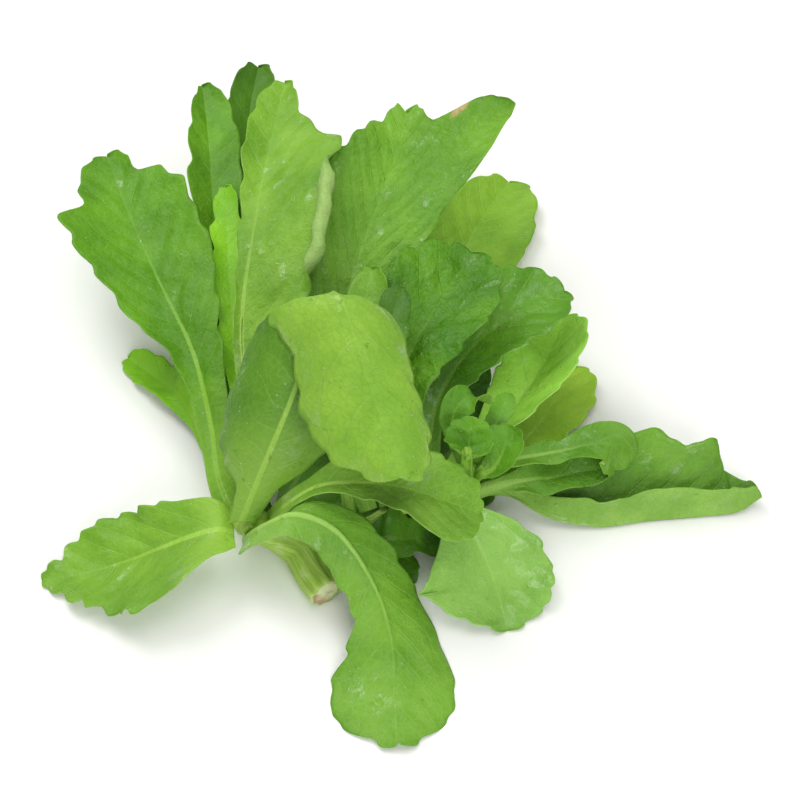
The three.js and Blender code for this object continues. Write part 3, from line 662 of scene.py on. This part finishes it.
        half=[5.5, 5.5], wide=0.75, teeth=4, bite=0.8,
    ),
    dict(
        heartLeaf, name="heart_leaf_right",
        spine=[[73, 22, 28], [80, 21, 33], [85, 27, 39], [87, 36, 44]],
        half=[10, 10],
    ),
    dict(
        heartLeaf, name="heart_leaf_nodding", turn=-20,
        spine=[[70, 23, 30], [65, 32, 42], [65, 41, 51], [71, 46, 54], [79, 46, 50]],
        half=[7, 8],
    ),
    dict(
        heartLeaf, name="heart_leaf_upright", crinkle=0.4,
        spine=[[69.5, 19.5, 27], [69.5, 18, 33], [70.5, 24, 41], [71, 34, 47]],
        half=[11, 11], stalk=2.4, wide=0.6, teeth=4,
    ),
    dict(
        name="leaf_centre_arched", look="arched", settles=False, teeth=9, turn=0,
        wave=[1, 3, 0], sweep=0,
        spine=[
            [-23, 2, 28], [-14, 14, 48], [-2, 29, 74], [7, 43, 95], [12, 52, 107], [16, 54, 114],
            [20, 48, 116], [24, 38, 110], [30, 22, 100], [37, 5, 89], [41, -6, 82],
        ],
        left=[
            [0, 6], [0.1, 9], [0.2, 24], [0.3, 38], [0.42, 43],
            [0.56, 40], [0.7, 33], [0.85, 37], [0.94, 31], [1, 12],
        ],
        right=[
            [0, 6], [0.09, 9], [0.18, 20], [0.3, 31], [0.42, 33],
            [0.56, 30], [0.7, 30], [0.85, 28], [0.94, 24], [1, 12],
        ],
        droops=True, fold=[[[0.1, -10], [0.3, 4]], [[0.1, -10], [0.3, 4]]], cup=66,
    ),
]

toothPeak = 0.8  # share of a tooth's length where it stands out most
bladeRise = 0.12  # share of the length between the end of the stalk and the first tooth
leastHalfWidth = 1.2  # mm


def toothBite(leaf, share, side):
    # a tooth leans forward: it swells slowly and drops back fast
    bladeStart = leaf["stalkEnd"] + bladeRise
    place = (share - bladeStart) / (blade["end"] - bladeStart) * leaf["teeth"]
    phase = place - np.floor(place)
    rise = np.sin(np.minimum(phase, toothPeak) / toothPeak * math.pi / 2)
    fall = 0.5 + 0.5 * np.cos((phase - toothPeak) / (1 - toothPeak) * math.pi)
    swell = np.where(phase < toothPeak, rise, fall)
    depth = leaf["bite"] * (0.6 + 0.8 * wander(np.floor(place), side + 3))
    inside = (place > 0) & (share < blade["end"])
    return np.where(inside, depth * (1 - swell) * smooth(place / 1.5), 0)


def spoonWidth(leaf, share, side):
    full = leaf["half"][1 if side > 0 else 0]
    rise = np.maximum(0, (share - leaf["stalkEnd"]) / (leaf["wide"] - leaf["stalkEnd"]))
    rising = leaf["stalk"] + (full - leaf["stalk"]) * np.sin(np.minimum(rise, 1) * math.pi / 2) ** 1.3
    fall = np.clip((share - leaf["wide"]) / (1 - leaf["wide"]), 0, 1)
    falling = full * np.maximum(0, 1 - fall ** 2.3) ** (1 / 2.3)
    return np.where(share < leaf["wide"], rising, falling)


def marginWidth(leaf, body, side):
    outline = leaf.get("right" if side > 0 else "left")
    width = along(outline, body) if outline else spoonWidth(leaf, body, side)
    width = np.maximum(leastHalfWidth, width - toothBite(leaf, body, side))
    if leaf["fine"]:
        # small nicks between the teeth
        nick = np.sin(fullTurn * (body * leaf["teeth"] * 2.2 + wander(leaf["seed"], side))) * 0.5 + 0.5
        width = width - blade["nick"] * nick * smooth((body - leaf["stalkEnd"] - 0.15) / 0.1)
    return width


def sideWidth(leaf, share, side):
    body = np.minimum(share, blade["end"])
    if not leaf["fine"]:
        return marginWidth(leaf, body, side)
    # corners of the margin are rounded, and past the blade's end the tip closes as a half ellipse
    near = [marginWidth(leaf, np.clip(body + shift, 0, blade["end"]), side) for shift in blade["soften"]]
    over = np.clip((share - blade["end"]) / leaf["tipShare"], 0, 1)
    return sum(near) / len(near) * np.sqrt(np.maximum(1 - over ** 2, blade["tipLeast"] ** 2))


def halfWidth(leaf, share, u):
    return np.where(u < 0, sideWidth(leaf, share, -1), sideWidth(leaf, share, 1))


def crossSection(leaf, share, u):
    # how far a point lies sideways and upwards from the midrib
    left = u < 0
    fold = np.where(left, along(leaf["fold"][0], share), along(leaf["fold"][1], share))
    curl = np.where(left, along(leaf["curl"][0], share), along(leaf["curl"][1], share))
    width = halfWidth(leaf, share, u)
    steps = 12
    out, up = np.zeros(u.shape), np.zeros(u.shape)
    for i in range(steps):
        q = (i + 0.5) * np.abs(u) / steps
        curled = curl * smooth((q - leaf["curlFrom"]) / (1 - leaf["curlFrom"]))
        angle = np.radians(fold + leaf["cup"] * q + curled)
        out += np.cos(angle) * np.abs(u) / steps * width
        up += np.sin(angle) * np.abs(u) / steps * width
    height, count, phase = leaf["wave"]
    ripple = np.sin(fullTurn * count * share + phase + np.where(left, 0, 1.9))
    up += height * ripple * u * u * smooth((share - leaf["stalkEnd"]) / 0.25)
    return np.sign(u) * out, up


def middleSheet(leaf, shares, across):
    curve = leaf["curve"]
    share, u = np.broadcast_arrays(shares[:, None], across[None, :])
    # the margin runs ahead of the midrib, so side veins and teeth point towards the tip
    ahead = leaf["sweep"] * np.abs(u) * halfWidth(leaf, share, u) * smooth(share / 0.3)
    reach = share + ahead / curve["length"]
    held = np.minimum(1, reach)
    forward = unit(sampleCurve(curve, "tangents", held))
    heading = np.radians(along(leaf["turn"], reach))
    right = np.stack([np.cos(heading), np.sin(heading), np.zeros(heading.shape)], axis=-1)
    if leaf["droops"]:
        up = np.broadcast_to(np.array([0.0, 0.0, -1.0]), right.shape)
    else:
        right = unit(right - forward * np.sum(right * forward, axis=-1, keepdims=True))
        roll = np.radians(-along(leaf["roll"], reach))[..., None]
        right = right * np.cos(roll) + np.cross(forward, right) * np.sin(roll)
        up = np.cross(right, forward)
    out, rise = crossSection(leaf, share, u)
    pastTip = np.maximum(0, reach - 1) * curve["length"]
    points = sampleCurve(curve, "points", held) + forward * pastTip[..., None]
    return points + right * out[..., None] + up * rise[..., None]


def coarseShares(leaf):
    bladeStart = leaf["stalkEnd"] + bladeRise
    tooth = (blade["end"] - bladeStart) / leaf["teeth"]
    rows = [0] + [bladeStart * i / 3 for i in (1, 2, 3)]
    rows += [bladeStart + tooth * (i + part) for i in range(leaf["teeth"]) for part in (0.42, toothPeak, 1)]
    return np.array(rows)


# the table and everything laid on it so far, as a height map
pile = dict(low=-160, cell=2, size=240, heights=np.zeros((240, 240)))


def sheetSamples(sheet):
    # points all over a sheet, and the row and column of the sheet that each lies at
    parts = np.arange(6) / 5
    rows, columns = sheet.shape[0], sheet.shape[1]
    i = (np.arange(rows - 1)[:, None] + parts[None, :]).ravel()
    j = (np.arange(columns - 1)[:, None] + parts[None, :]).ravel()
    i0, j0 = np.minimum(np.floor(i).astype(int), rows - 2), np.minimum(np.floor(j).astype(int), columns - 2)
    a, b = (i - i0)[:, None, None], (j - j0)[None, :, None]
    near = sheet[i0][:, j0] * (1 - a) + sheet[i0 + 1][:, j0] * a
    far = sheet[i0][:, j0 + 1] * (1 - a) + sheet[i0 + 1][:, j0 + 1] * a
    return near * (1 - b) + far * b, i, j


def pileCells(points):
    cells = np.round((points[..., :2] - pile["low"]) / pile["cell"]).astype(int)
    return cells[..., 1], cells[..., 0]


def settle(sheet):
    # lifts the sheet off what lies below it, and less and less away from where it touches
    points, i, j = sheetSamples(sheet)
    hair = 1e-9
    row, column = pileCells(points)
    grown = pile["heights"].copy()
    for down in (-1, 0, 1):
        for side in (-1, 0, 1):
            grown = np.maximum(grown, np.roll(pile["heights"], (down, side), (0, 1)))
    floor = grown[row, column]
    lift = floor + np.where(floor > 0, blade["gap"], 0) + blade["thickness"] / 2 - points[..., 2]
    need = np.zeros(sheet.shape[:2])
    for rowAt in (np.floor(i + hair).astype(int), np.ceil(i - hair).astype(int)):
        for columnAt in (np.floor(j + hair).astype(int), np.ceil(j - hair).astype(int)):
            grid = np.broadcast_arrays(rowAt[:, None], columnAt[None, :])
            np.maximum.at(need, (grid[0].ravel(), grid[1].ravel()), lift.ravel())
    need[0] = 0
    lifts = need.copy()
    for _ in range(blade["springRounds"]):
        padded = np.pad(lifts, 1, mode="edge")
        near = padded[:-2, 1:-1] + padded[2:, 1:-1] + padded[1:-1, :-2] + padded[1:-1, 2:]
        lifts = np.maximum(need, blade["spring"] * near / 4)
        lifts[0] = 0
    return lifts


def addToPile(sheet):
    points, _, _ = sheetSamples(sheet)
    row, column = pileCells(points)
    tops = points[..., 2] + blade["thickness"] / 2
    np.maximum.at(pile["heights"], (row.ravel(), column.ravel()), tops.ravel())


def spread(values, places, at):
    # smooth cubic steps between rows of values, held flat past the last row
    slopes = np.gradient(values, places, axis=0)
    at = np.clip(at, places[0], places[-1])
    i = np.clip(np.searchsorted(places, at, side="right") - 1, 0, len(places) - 2)
    gap = (places[i + 1] - places[i])[:, None]
    t = (at - places[i])[:, None] / gap
    first = (2 * t ** 3 - 3 * t ** 2 + 1) * values[i] + (t ** 3 - 2 * t ** 2 + t) * gap * slopes[i]
    return first + (3 * t ** 2 - 2 * t ** 3) * values[i + 1] + (t ** 3 - t ** 2) * gap * slopes[i + 1]


def fineLeaf(leaf, lifts):
    # the same blade with many rows and columns, its ripples, bulges between veins and midrib
    seed, length = leaf["seed"], leaf["curve"]["length"]
    tipWidth = max(sideWidth(leaf, np.array([blade["end"]]), side)[0] for side in (-1, 1))
    leaf = dict(leaf, fine=True, tipShare=0.45 * tipWidth / length)
    body = np.linspace(0, blade["end"], blade["fineRows"])
    tip = np.linspace(0, 1, blade["tipRows"] + 1)[1:] * math.pi / 2
    shares = np.concatenate([body, blade["end"] + leaf["tipShare"] * np.sin(tip)])
    # columns stand closer together at the midrib
    t = np.linspace(-1, 1, blade["fineColumns"])
    across = t * (0.6 + 0.4 * np.abs(t))
    sheet = middleSheet(leaf, shares, across)
    rowLifts = spread(lifts, coarseShares(leaf), shares)
    sheet[..., 2] += spread(rowLifts.T, np.array(leaf["columns"], float), across).T

    share, u = np.broadcast_arrays(shares[:, None], across[None, :])
    side = np.where(u < 0, 0.0, 0.5)
    width = halfWidth(leaf, share, u)
    sideways = u * width
    lengthwise = share * length
    normal = sheetNormals(sheet)
    onBlade = smooth((share - leaf["stalkEnd"]) / 0.2) * (1 - 0.6 * smooth((share - 0.9) / 0.1))
    # side veins leave the midrib at a slant, bend forward and wander a little
    alongVeins = lengthwise - 0.75 * np.abs(sideways) - 0.012 * sideways ** 2
    phase = alongVeins / blade["veinSpacing"] + side + wander(seed, 1)
    phase += 0.22 * ripples(lengthwise, sideways, 22, seed + 5)
    bulge = blade["quilt"] * -np.cos(fullTurn * phase) * smooth(np.abs(sideways) / 5) * (1 - 0.5 * np.abs(u))
    crinkle = leaf["crinkle"] * ripples(lengthwise, sideways, blade["crinkleSize"], seed)
    crinkle = crinkle + 0.3 * leaf["crinkle"] * ripples(lengthwise, sideways, blade["puckerSize"], seed + 1)
    crinkle *= smooth(np.abs(sideways) / 4)
    ruffle = leaf["ruffle"] * ripples(lengthwise, side * 90, blade["ruffleSize"], seed + 2) * np.abs(u) ** 4
    relief = (bulge + crinkle + ruffle) * onBlade * min(1, width.max() / 20)  # small leaves are smoother
    sheet = sheet + normal * relief[..., None]
    normal = sheetNormals(sheet)

    fleshy = 1 - smooth(share / blade["fleshyUntil"])
    thickness = blade["fineEdge"] + (blade["stalkEdge"] - blade["fineEdge"]) * fleshy
    thickness = thickness * (1 - 0.35 * np.abs(u) ** 6)
    toTip = np.maximum(0, 1 - share)
    ribReach = 0.38 + 1.5 * toTip ** 1.7
    above = thickness / 2 + 0.3 * toTip * np.exp(-(sideways / (0.55 * ribReach)) ** 2)
    below = thickness / 2 + blade["ribDepth"] * toTip ** 1.3 * np.exp(-(sideways / ribReach) ** 2)
    top = sheet + normal * above[..., None]
    bottom = sheet - normal * below[..., None]
    bottom[..., 2] = np.maximum(bottom[..., 2], tableTop)
    rows, columns = sheet.shape[:2]
    count = rows * columns
    faces = gridFaces(rows, columns) + gridFaces(rows, columns, count, flip=True)
    grid = np.arange(count).reshape(rows, columns)
    rim = np.concatenate([grid[0, :], grid[1:, -1], grid[-1, -2::-1], grid[-2:0:-1, 0]])
    following = np.roll(rim, -1)
    faces += np.stack([following, rim, rim + count, following + count], axis=1).tolist()
    bladeMap = np.stack([sideways, lengthwise], axis=-1).reshape(-1, 2) / mapUnit
    veinMap = np.stack([phase, np.abs(sideways) / ribReach], axis=-1).reshape(-1, 2)
    # the pale colour of the stalk runs out into the blade, and the midrib's fades to the tip
    stalk = 1 - smooth((share - 0.06) / (leaf["stalkEnd"] + bladeRise))
    ribFade = 0.85 * (1 - smooth((share - 0.25) / 0.6)) + 0.1
    underside = [1.0, 0.0] if leaf["flipped"] else [0.0, 1.0]
    return dict(
        points=np.concatenate([top.reshape(-1, 3), bottom.reshape(-1, 3)]), faces=faces,
        maps=dict(bladeMap=np.tile(bladeMap, (2, 1)), veinMap=np.tile(veinMap, (2, 1))),
        marks=dict(
            underside=np.repeat(underside, count), stalk=np.tile(stalk.ravel(), 2),
            ribFade=np.tile(ribFade.ravel(), 2),
        ),
    )


def sheetNormals(sheet):
    lengthwise = np.gradient(sheet, axis=0)
    sideways = np.gradient(sheet, axis=1)
    return unit(np.cross(sideways, lengthwise))


def joinShapes(shapes):
    points, faces, start = [], [], 0
    for shape in shapes:
        points.append(shape["points"])
        faces += [[c + start for c in face] for face in shape["faces"]]
        start += len(shape["points"])
    maps = {k: np.concatenate([s["maps"][k] for s in shapes]) for k in shapes[0]["maps"]}
    marks = {k: np.concatenate([s["marks"][k] for s in shapes]) for k in shapes[0]["marks"]}
    return dict(points=np.concatenate(points), faces=faces, maps=maps, marks=marks)


# stem and stalks

stem = dict(
    route=[
        [12, -20, 7.4], [6, -11, 6.7], [0, 0, 6.4], [-9, 6, 9.4], [-17, 8, 15], [-21, 7, 20], [-22, 7, 24],
    ],
    branch=[[-4, 3, 9], [13, 1, 10], [28, 9, 13], [47, 18, 17], [62, 22, 20], [68, 22, 24]],
    heart=[[70, 22, 26], [71, 23, 30], [72, 25, 35]],
    radius=7.6, crownRadius=6.4, branchRadius=4.4, budRadius=3, ridges=9, ridgeDepth=0.35,
    fibreWidth=0.9, fibreLength=14, mottle=9, grain=0.7, bumpHeight=0.4, glowDepth=1.5,
    rind="#AECF58", rindShade="#8FB43F", pith="#DDE6B2", cutEdge="#A9BC6A", stain="#B9866A",
)


def stalkShape(route, start, end, sides=64, rows=60, cut=False, seed=0):
    # a ribbed round stalk; a cut start is a slightly sunken, rough disc inside a rounded rim
    curve = curveThrough(route)
    share = np.linspace(0, 1, rows)
    centre = sampleCurve(curve, "points", share)
    forward = unit(sampleCurve(curve, "tangents", share))
    right = unit(np.array([1.0, 0, 0]) - forward * forward[:, :1])
    up = np.cross(right, forward)
    angle = np.linspace(0, 2 * math.pi, sides, endpoint=False)
    radius = (start + (end - start) * share)[:, None] * np.ones(sides)[None, :]
    twist = angle[None, :] + 0.5 * share[:, None]
    ridgeDepth = stem["ridgeDepth"] * (start / stem["radius"])
    radius = radius + ridgeDepth * (np.cos(stem["ridges"] * twist) - 0.6)
    radius += 0.25 * ripples(share[:, None] * curve["length"], angle[None, :] * start, 7, seed)
    if cut:
        radius[0] -= 0.5
        radius[1] -= 0.12
    ring = centre[:, None] + right[:, None] * (np.cos(angle)[None, :] * radius)[..., None]
    ring = ring + up[:, None] * (np.sin(angle)[None, :] * radius)[..., None]
    rings = [ring]
    marks = [np.zeros((rows, sides))]
    maps = [np.stack(np.broadcast_arrays(angle[None, :] * start, share[:, None] * curve["length"]), axis=-1)]
    layers = 10
    for i in range(1, layers + 1):
        inward = 1 - i / layers
        sink = 0.7 * smooth((1 - inward) / 0.3) if cut else 0
        disc = ring[0] * inward + centre[0] * (1 - inward) + forward[0] * sink
        rough = 0.12 * ripples(disc[:, 0], disc[:, 2], 2.2, seed + 3)
        disc = disc + forward[0] * rough[:, None] * (1 - inward)
        rings.insert(0, disc[None])
        marks.insert(0, np.full((1, sides), 1.0))
        flat = [np.cos(angle) * radius[0] * inward, np.sin(angle) * radius[0] * inward]
        maps.insert(0, np.stack(flat, axis=-1)[None])
    # the far end closes in a low dome
    closing = np.tile(centre[-1] + forward[-1] * 0.8, (1, sides, 1))
    dome = ring[-1] * 0.55 + centre[-1] * 0.45 + forward[-1] * 0.6
    rings += [dome[None], closing]
    marks += [np.zeros((2, sides))]
    maps += [np.repeat(maps[-1][-1:], 2, axis=0)]
    points = np.concatenate(rings)
    points[..., 2] = np.maximum(points[..., 2], tableTop)
    cutMark, pairs = np.concatenate(marks), np.concatenate(maps) / mapUnit
    total = points.shape[0]
    # the first and last rings are one point each, so their faces are triangles
    grid = np.arange(total * sides).reshape(total, sides)
    kept = np.concatenate([grid[0, :1], grid[1:-1].ravel(), grid[-1, :1]])
    grid[0], grid[-1] = grid[0, 0], grid[-1, 0]
    grid = np.searchsorted(kept, grid)
    quads = np.stack([grid[:-1], np.roll(grid, -1, 1)[:-1], np.roll(grid, -1, 1)[1:], grid[1:]], axis=-1)
    faces = [list(dict.fromkeys(face)) for face in quads.reshape(-1, 4)[:, ::-1].tolist()]
    return dict(
        points=points.reshape(-1, 3)[kept], faces=faces,
        maps=dict(bladeMap=pairs.reshape(-1, 2)[kept]), marks=dict(cut=cutMark.ravel()[kept]),
    )


def stemMaterial():
    # green stem rind, satin with fine lengthwise fibres, and a pale moist cut face that has
    # a greener ring near its edge and has browned a little in the air
    material, tree, surface = newMaterial("stemRind")
    tint = {key: linearColour(stem[key]) for key in ("rind", "rindShade", "pith", "cutEdge", "stain")}
    flat = addNode(tree, "UVMap", give="UV", uv_map="bladeMap")
    place = addNode(tree, "TexCoord", give="Object")
    cut = addNode(tree, "Attribute", give="Fac", attribute_name="cut")
    # the fibres' noise is stretched along the stem: both ways in mm
    stretched = {}
    for axis, wide in enumerate((stem["fibreWidth"], stem["fibreLength"])):
        split = addNode(tree, "SeparateXYZ", [flat], give=axis)
        stretched[axis] = addNode(tree, "Math", [split, mapUnit / wide], operation="MULTIPLY")
    strands = addNode(tree, "CombineXYZ", stretched)
    fibre = addNode(tree, "TexNoise", {"Vector": strands, "Scale": 1, "Detail": 3}, give="Fac")
    scale = metre / stem["mottle"]
    mottle = addNode(tree, "TexNoise", {"Vector": place, "Scale": scale, "Detail": 3}, give="Fac")
    grain = addNode(tree, "TexVoronoi", {"Vector": place, "Scale": metre / stem["grain"]}, give="Distance")
    fromMiddle = addNode(tree, "VectorMath", [flat], give="Value", operation="LENGTH")
    mixed = {}
    for title, source, low, high, strength, under, over in (
        # each colour lies over the one before it where its source is between low and high
        ("rind", fibre, 0.3, 0.7, 1, tint["rindShade"], tint["rind"]),
        ("rind", mottle, 0.5, 0.75, 0.5, None, tint["pith"]),
        ("face", fromMiddle, 0.045, 0.07, 1, tint["pith"], tint["cutEdge"]),
        ("face", mottle, 0.48, 0.66, 0.75, None, tint["stain"]),
    ):
        amount = addNode(tree, "MapRange", [source, low, high, 0, strength], interpolation_type="SMOOTHSTEP")
        below = under or mixed[title]
        mixed[title] = addNode(tree, "Mix", {0: amount, 6: below, 7: over}, give=2, data_type="RGBA")
    colour = addNode(tree, "Mix", {0: cut, 6: mixed["rind"], 7: mixed["face"]}, give=2, data_type="RGBA")
    height = addNode(tree, "Math", [grain, 0.5, fibre], operation="MULTIPLY_ADD")
    normal = addNode(tree, "Bump", {"Height": height, "Distance": stem["bumpHeight"] * mm, "Strength": 0.6})
    fillInputs(surface, {
        "Base Color": colour, "Normal": normal, "Roughness": 0.45, "Subsurface Weight": 0.15,
        "Subsurface Radius": (0.6, 1.0, 0.3), "Subsurface Scale": stem["glowDepth"] * mm,
    })
    return material


def buildStem():
    main = stalkShape(stem["route"], stem["radius"], stem["crownRadius"], cut=True, seed=11)
    branch = stalkShape(stem["branch"], stem["branchRadius"], stem["budRadius"], sides=48, seed=12)
    shape = joinShapes([main, branch])
    piece = meshObject("stemAndSideShoot", **shape, material=stemMaterial())
    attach(piece, "root")
    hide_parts("stem")
    print("stem:", len(shape["faces"]), "faces")


def prepareLeaf(entry):
    leaf = dict(plainLeaf, **entry)
    first, last = leaf["spine"][0], leaf["spine"][-1]
    leaf.setdefault("turn", math.degrees(math.atan2(last[1] - first[1], last[0] - first[0])) - 90)
    leaf["curve"] = curveThrough(leaf["spine"])
    leaf["fine"] = False
    leaf["seed"] = sum(map(ord, leaf["name"])) % 97  # each leaf has its own, from its name
    return leaf


def buildLeaves():
    heartShapes = []
    finishes = {}
    for entry in leaves:
        leaf = prepareLeaf(entry)
        sheet = middleSheet(leaf, coarseShares(leaf), np.array(leaf["columns"], float))
        lifts = np.zeros(sheet.shape[:2])
        if leaf["settles"]:
            lifts = settle(sheet)
            sheet[..., 2] += lifts
            if leaf["carries"]:
                addToPile(sheet)
        shape = fineLeaf(leaf, lifts)
        if leaf["inHeart"]:
            heartShapes.append(shape)
            continue
        if leaf["look"] not in finishes:
            finishes[leaf["look"]] = leafMaterial("leafSkin_" + leaf["look"], looks[leaf["look"]])
        piece = meshObject(leaf["name"] + "_blade", **shape, material=finishes[leaf["look"]])
        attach(piece, "root")
        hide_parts(leaf["name"])
        print("leaf:", leaf["name"], len(shape["faces"]), "faces")
    bud = stalkShape(stem["heart"], stem["budRadius"], stem["budRadius"] * 0.8, sides=32, rows=20, seed=13)
    count = len(bud["points"])
    bud["maps"]["veinMap"] = np.full((count, 2), 0.25)
    bud["marks"] = dict(underside=np.zeros(count), stalk=np.ones(count), ribFade=np.ones(count))
    shape = joinShapes(heartShapes + [bud])
    skin = leafMaterial("leafSkin_heart", looks["heart"])
    piece = meshObject("heart_leaves_young", **shape, material=skin)
    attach(piece, "root")
    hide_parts("heart_leaves")
    print("heart:", len(shape["faces"]), "faces")


placeCamera()
buildStudio()
buildStem()
buildLeaves()

bpy.context.view_layer.update()
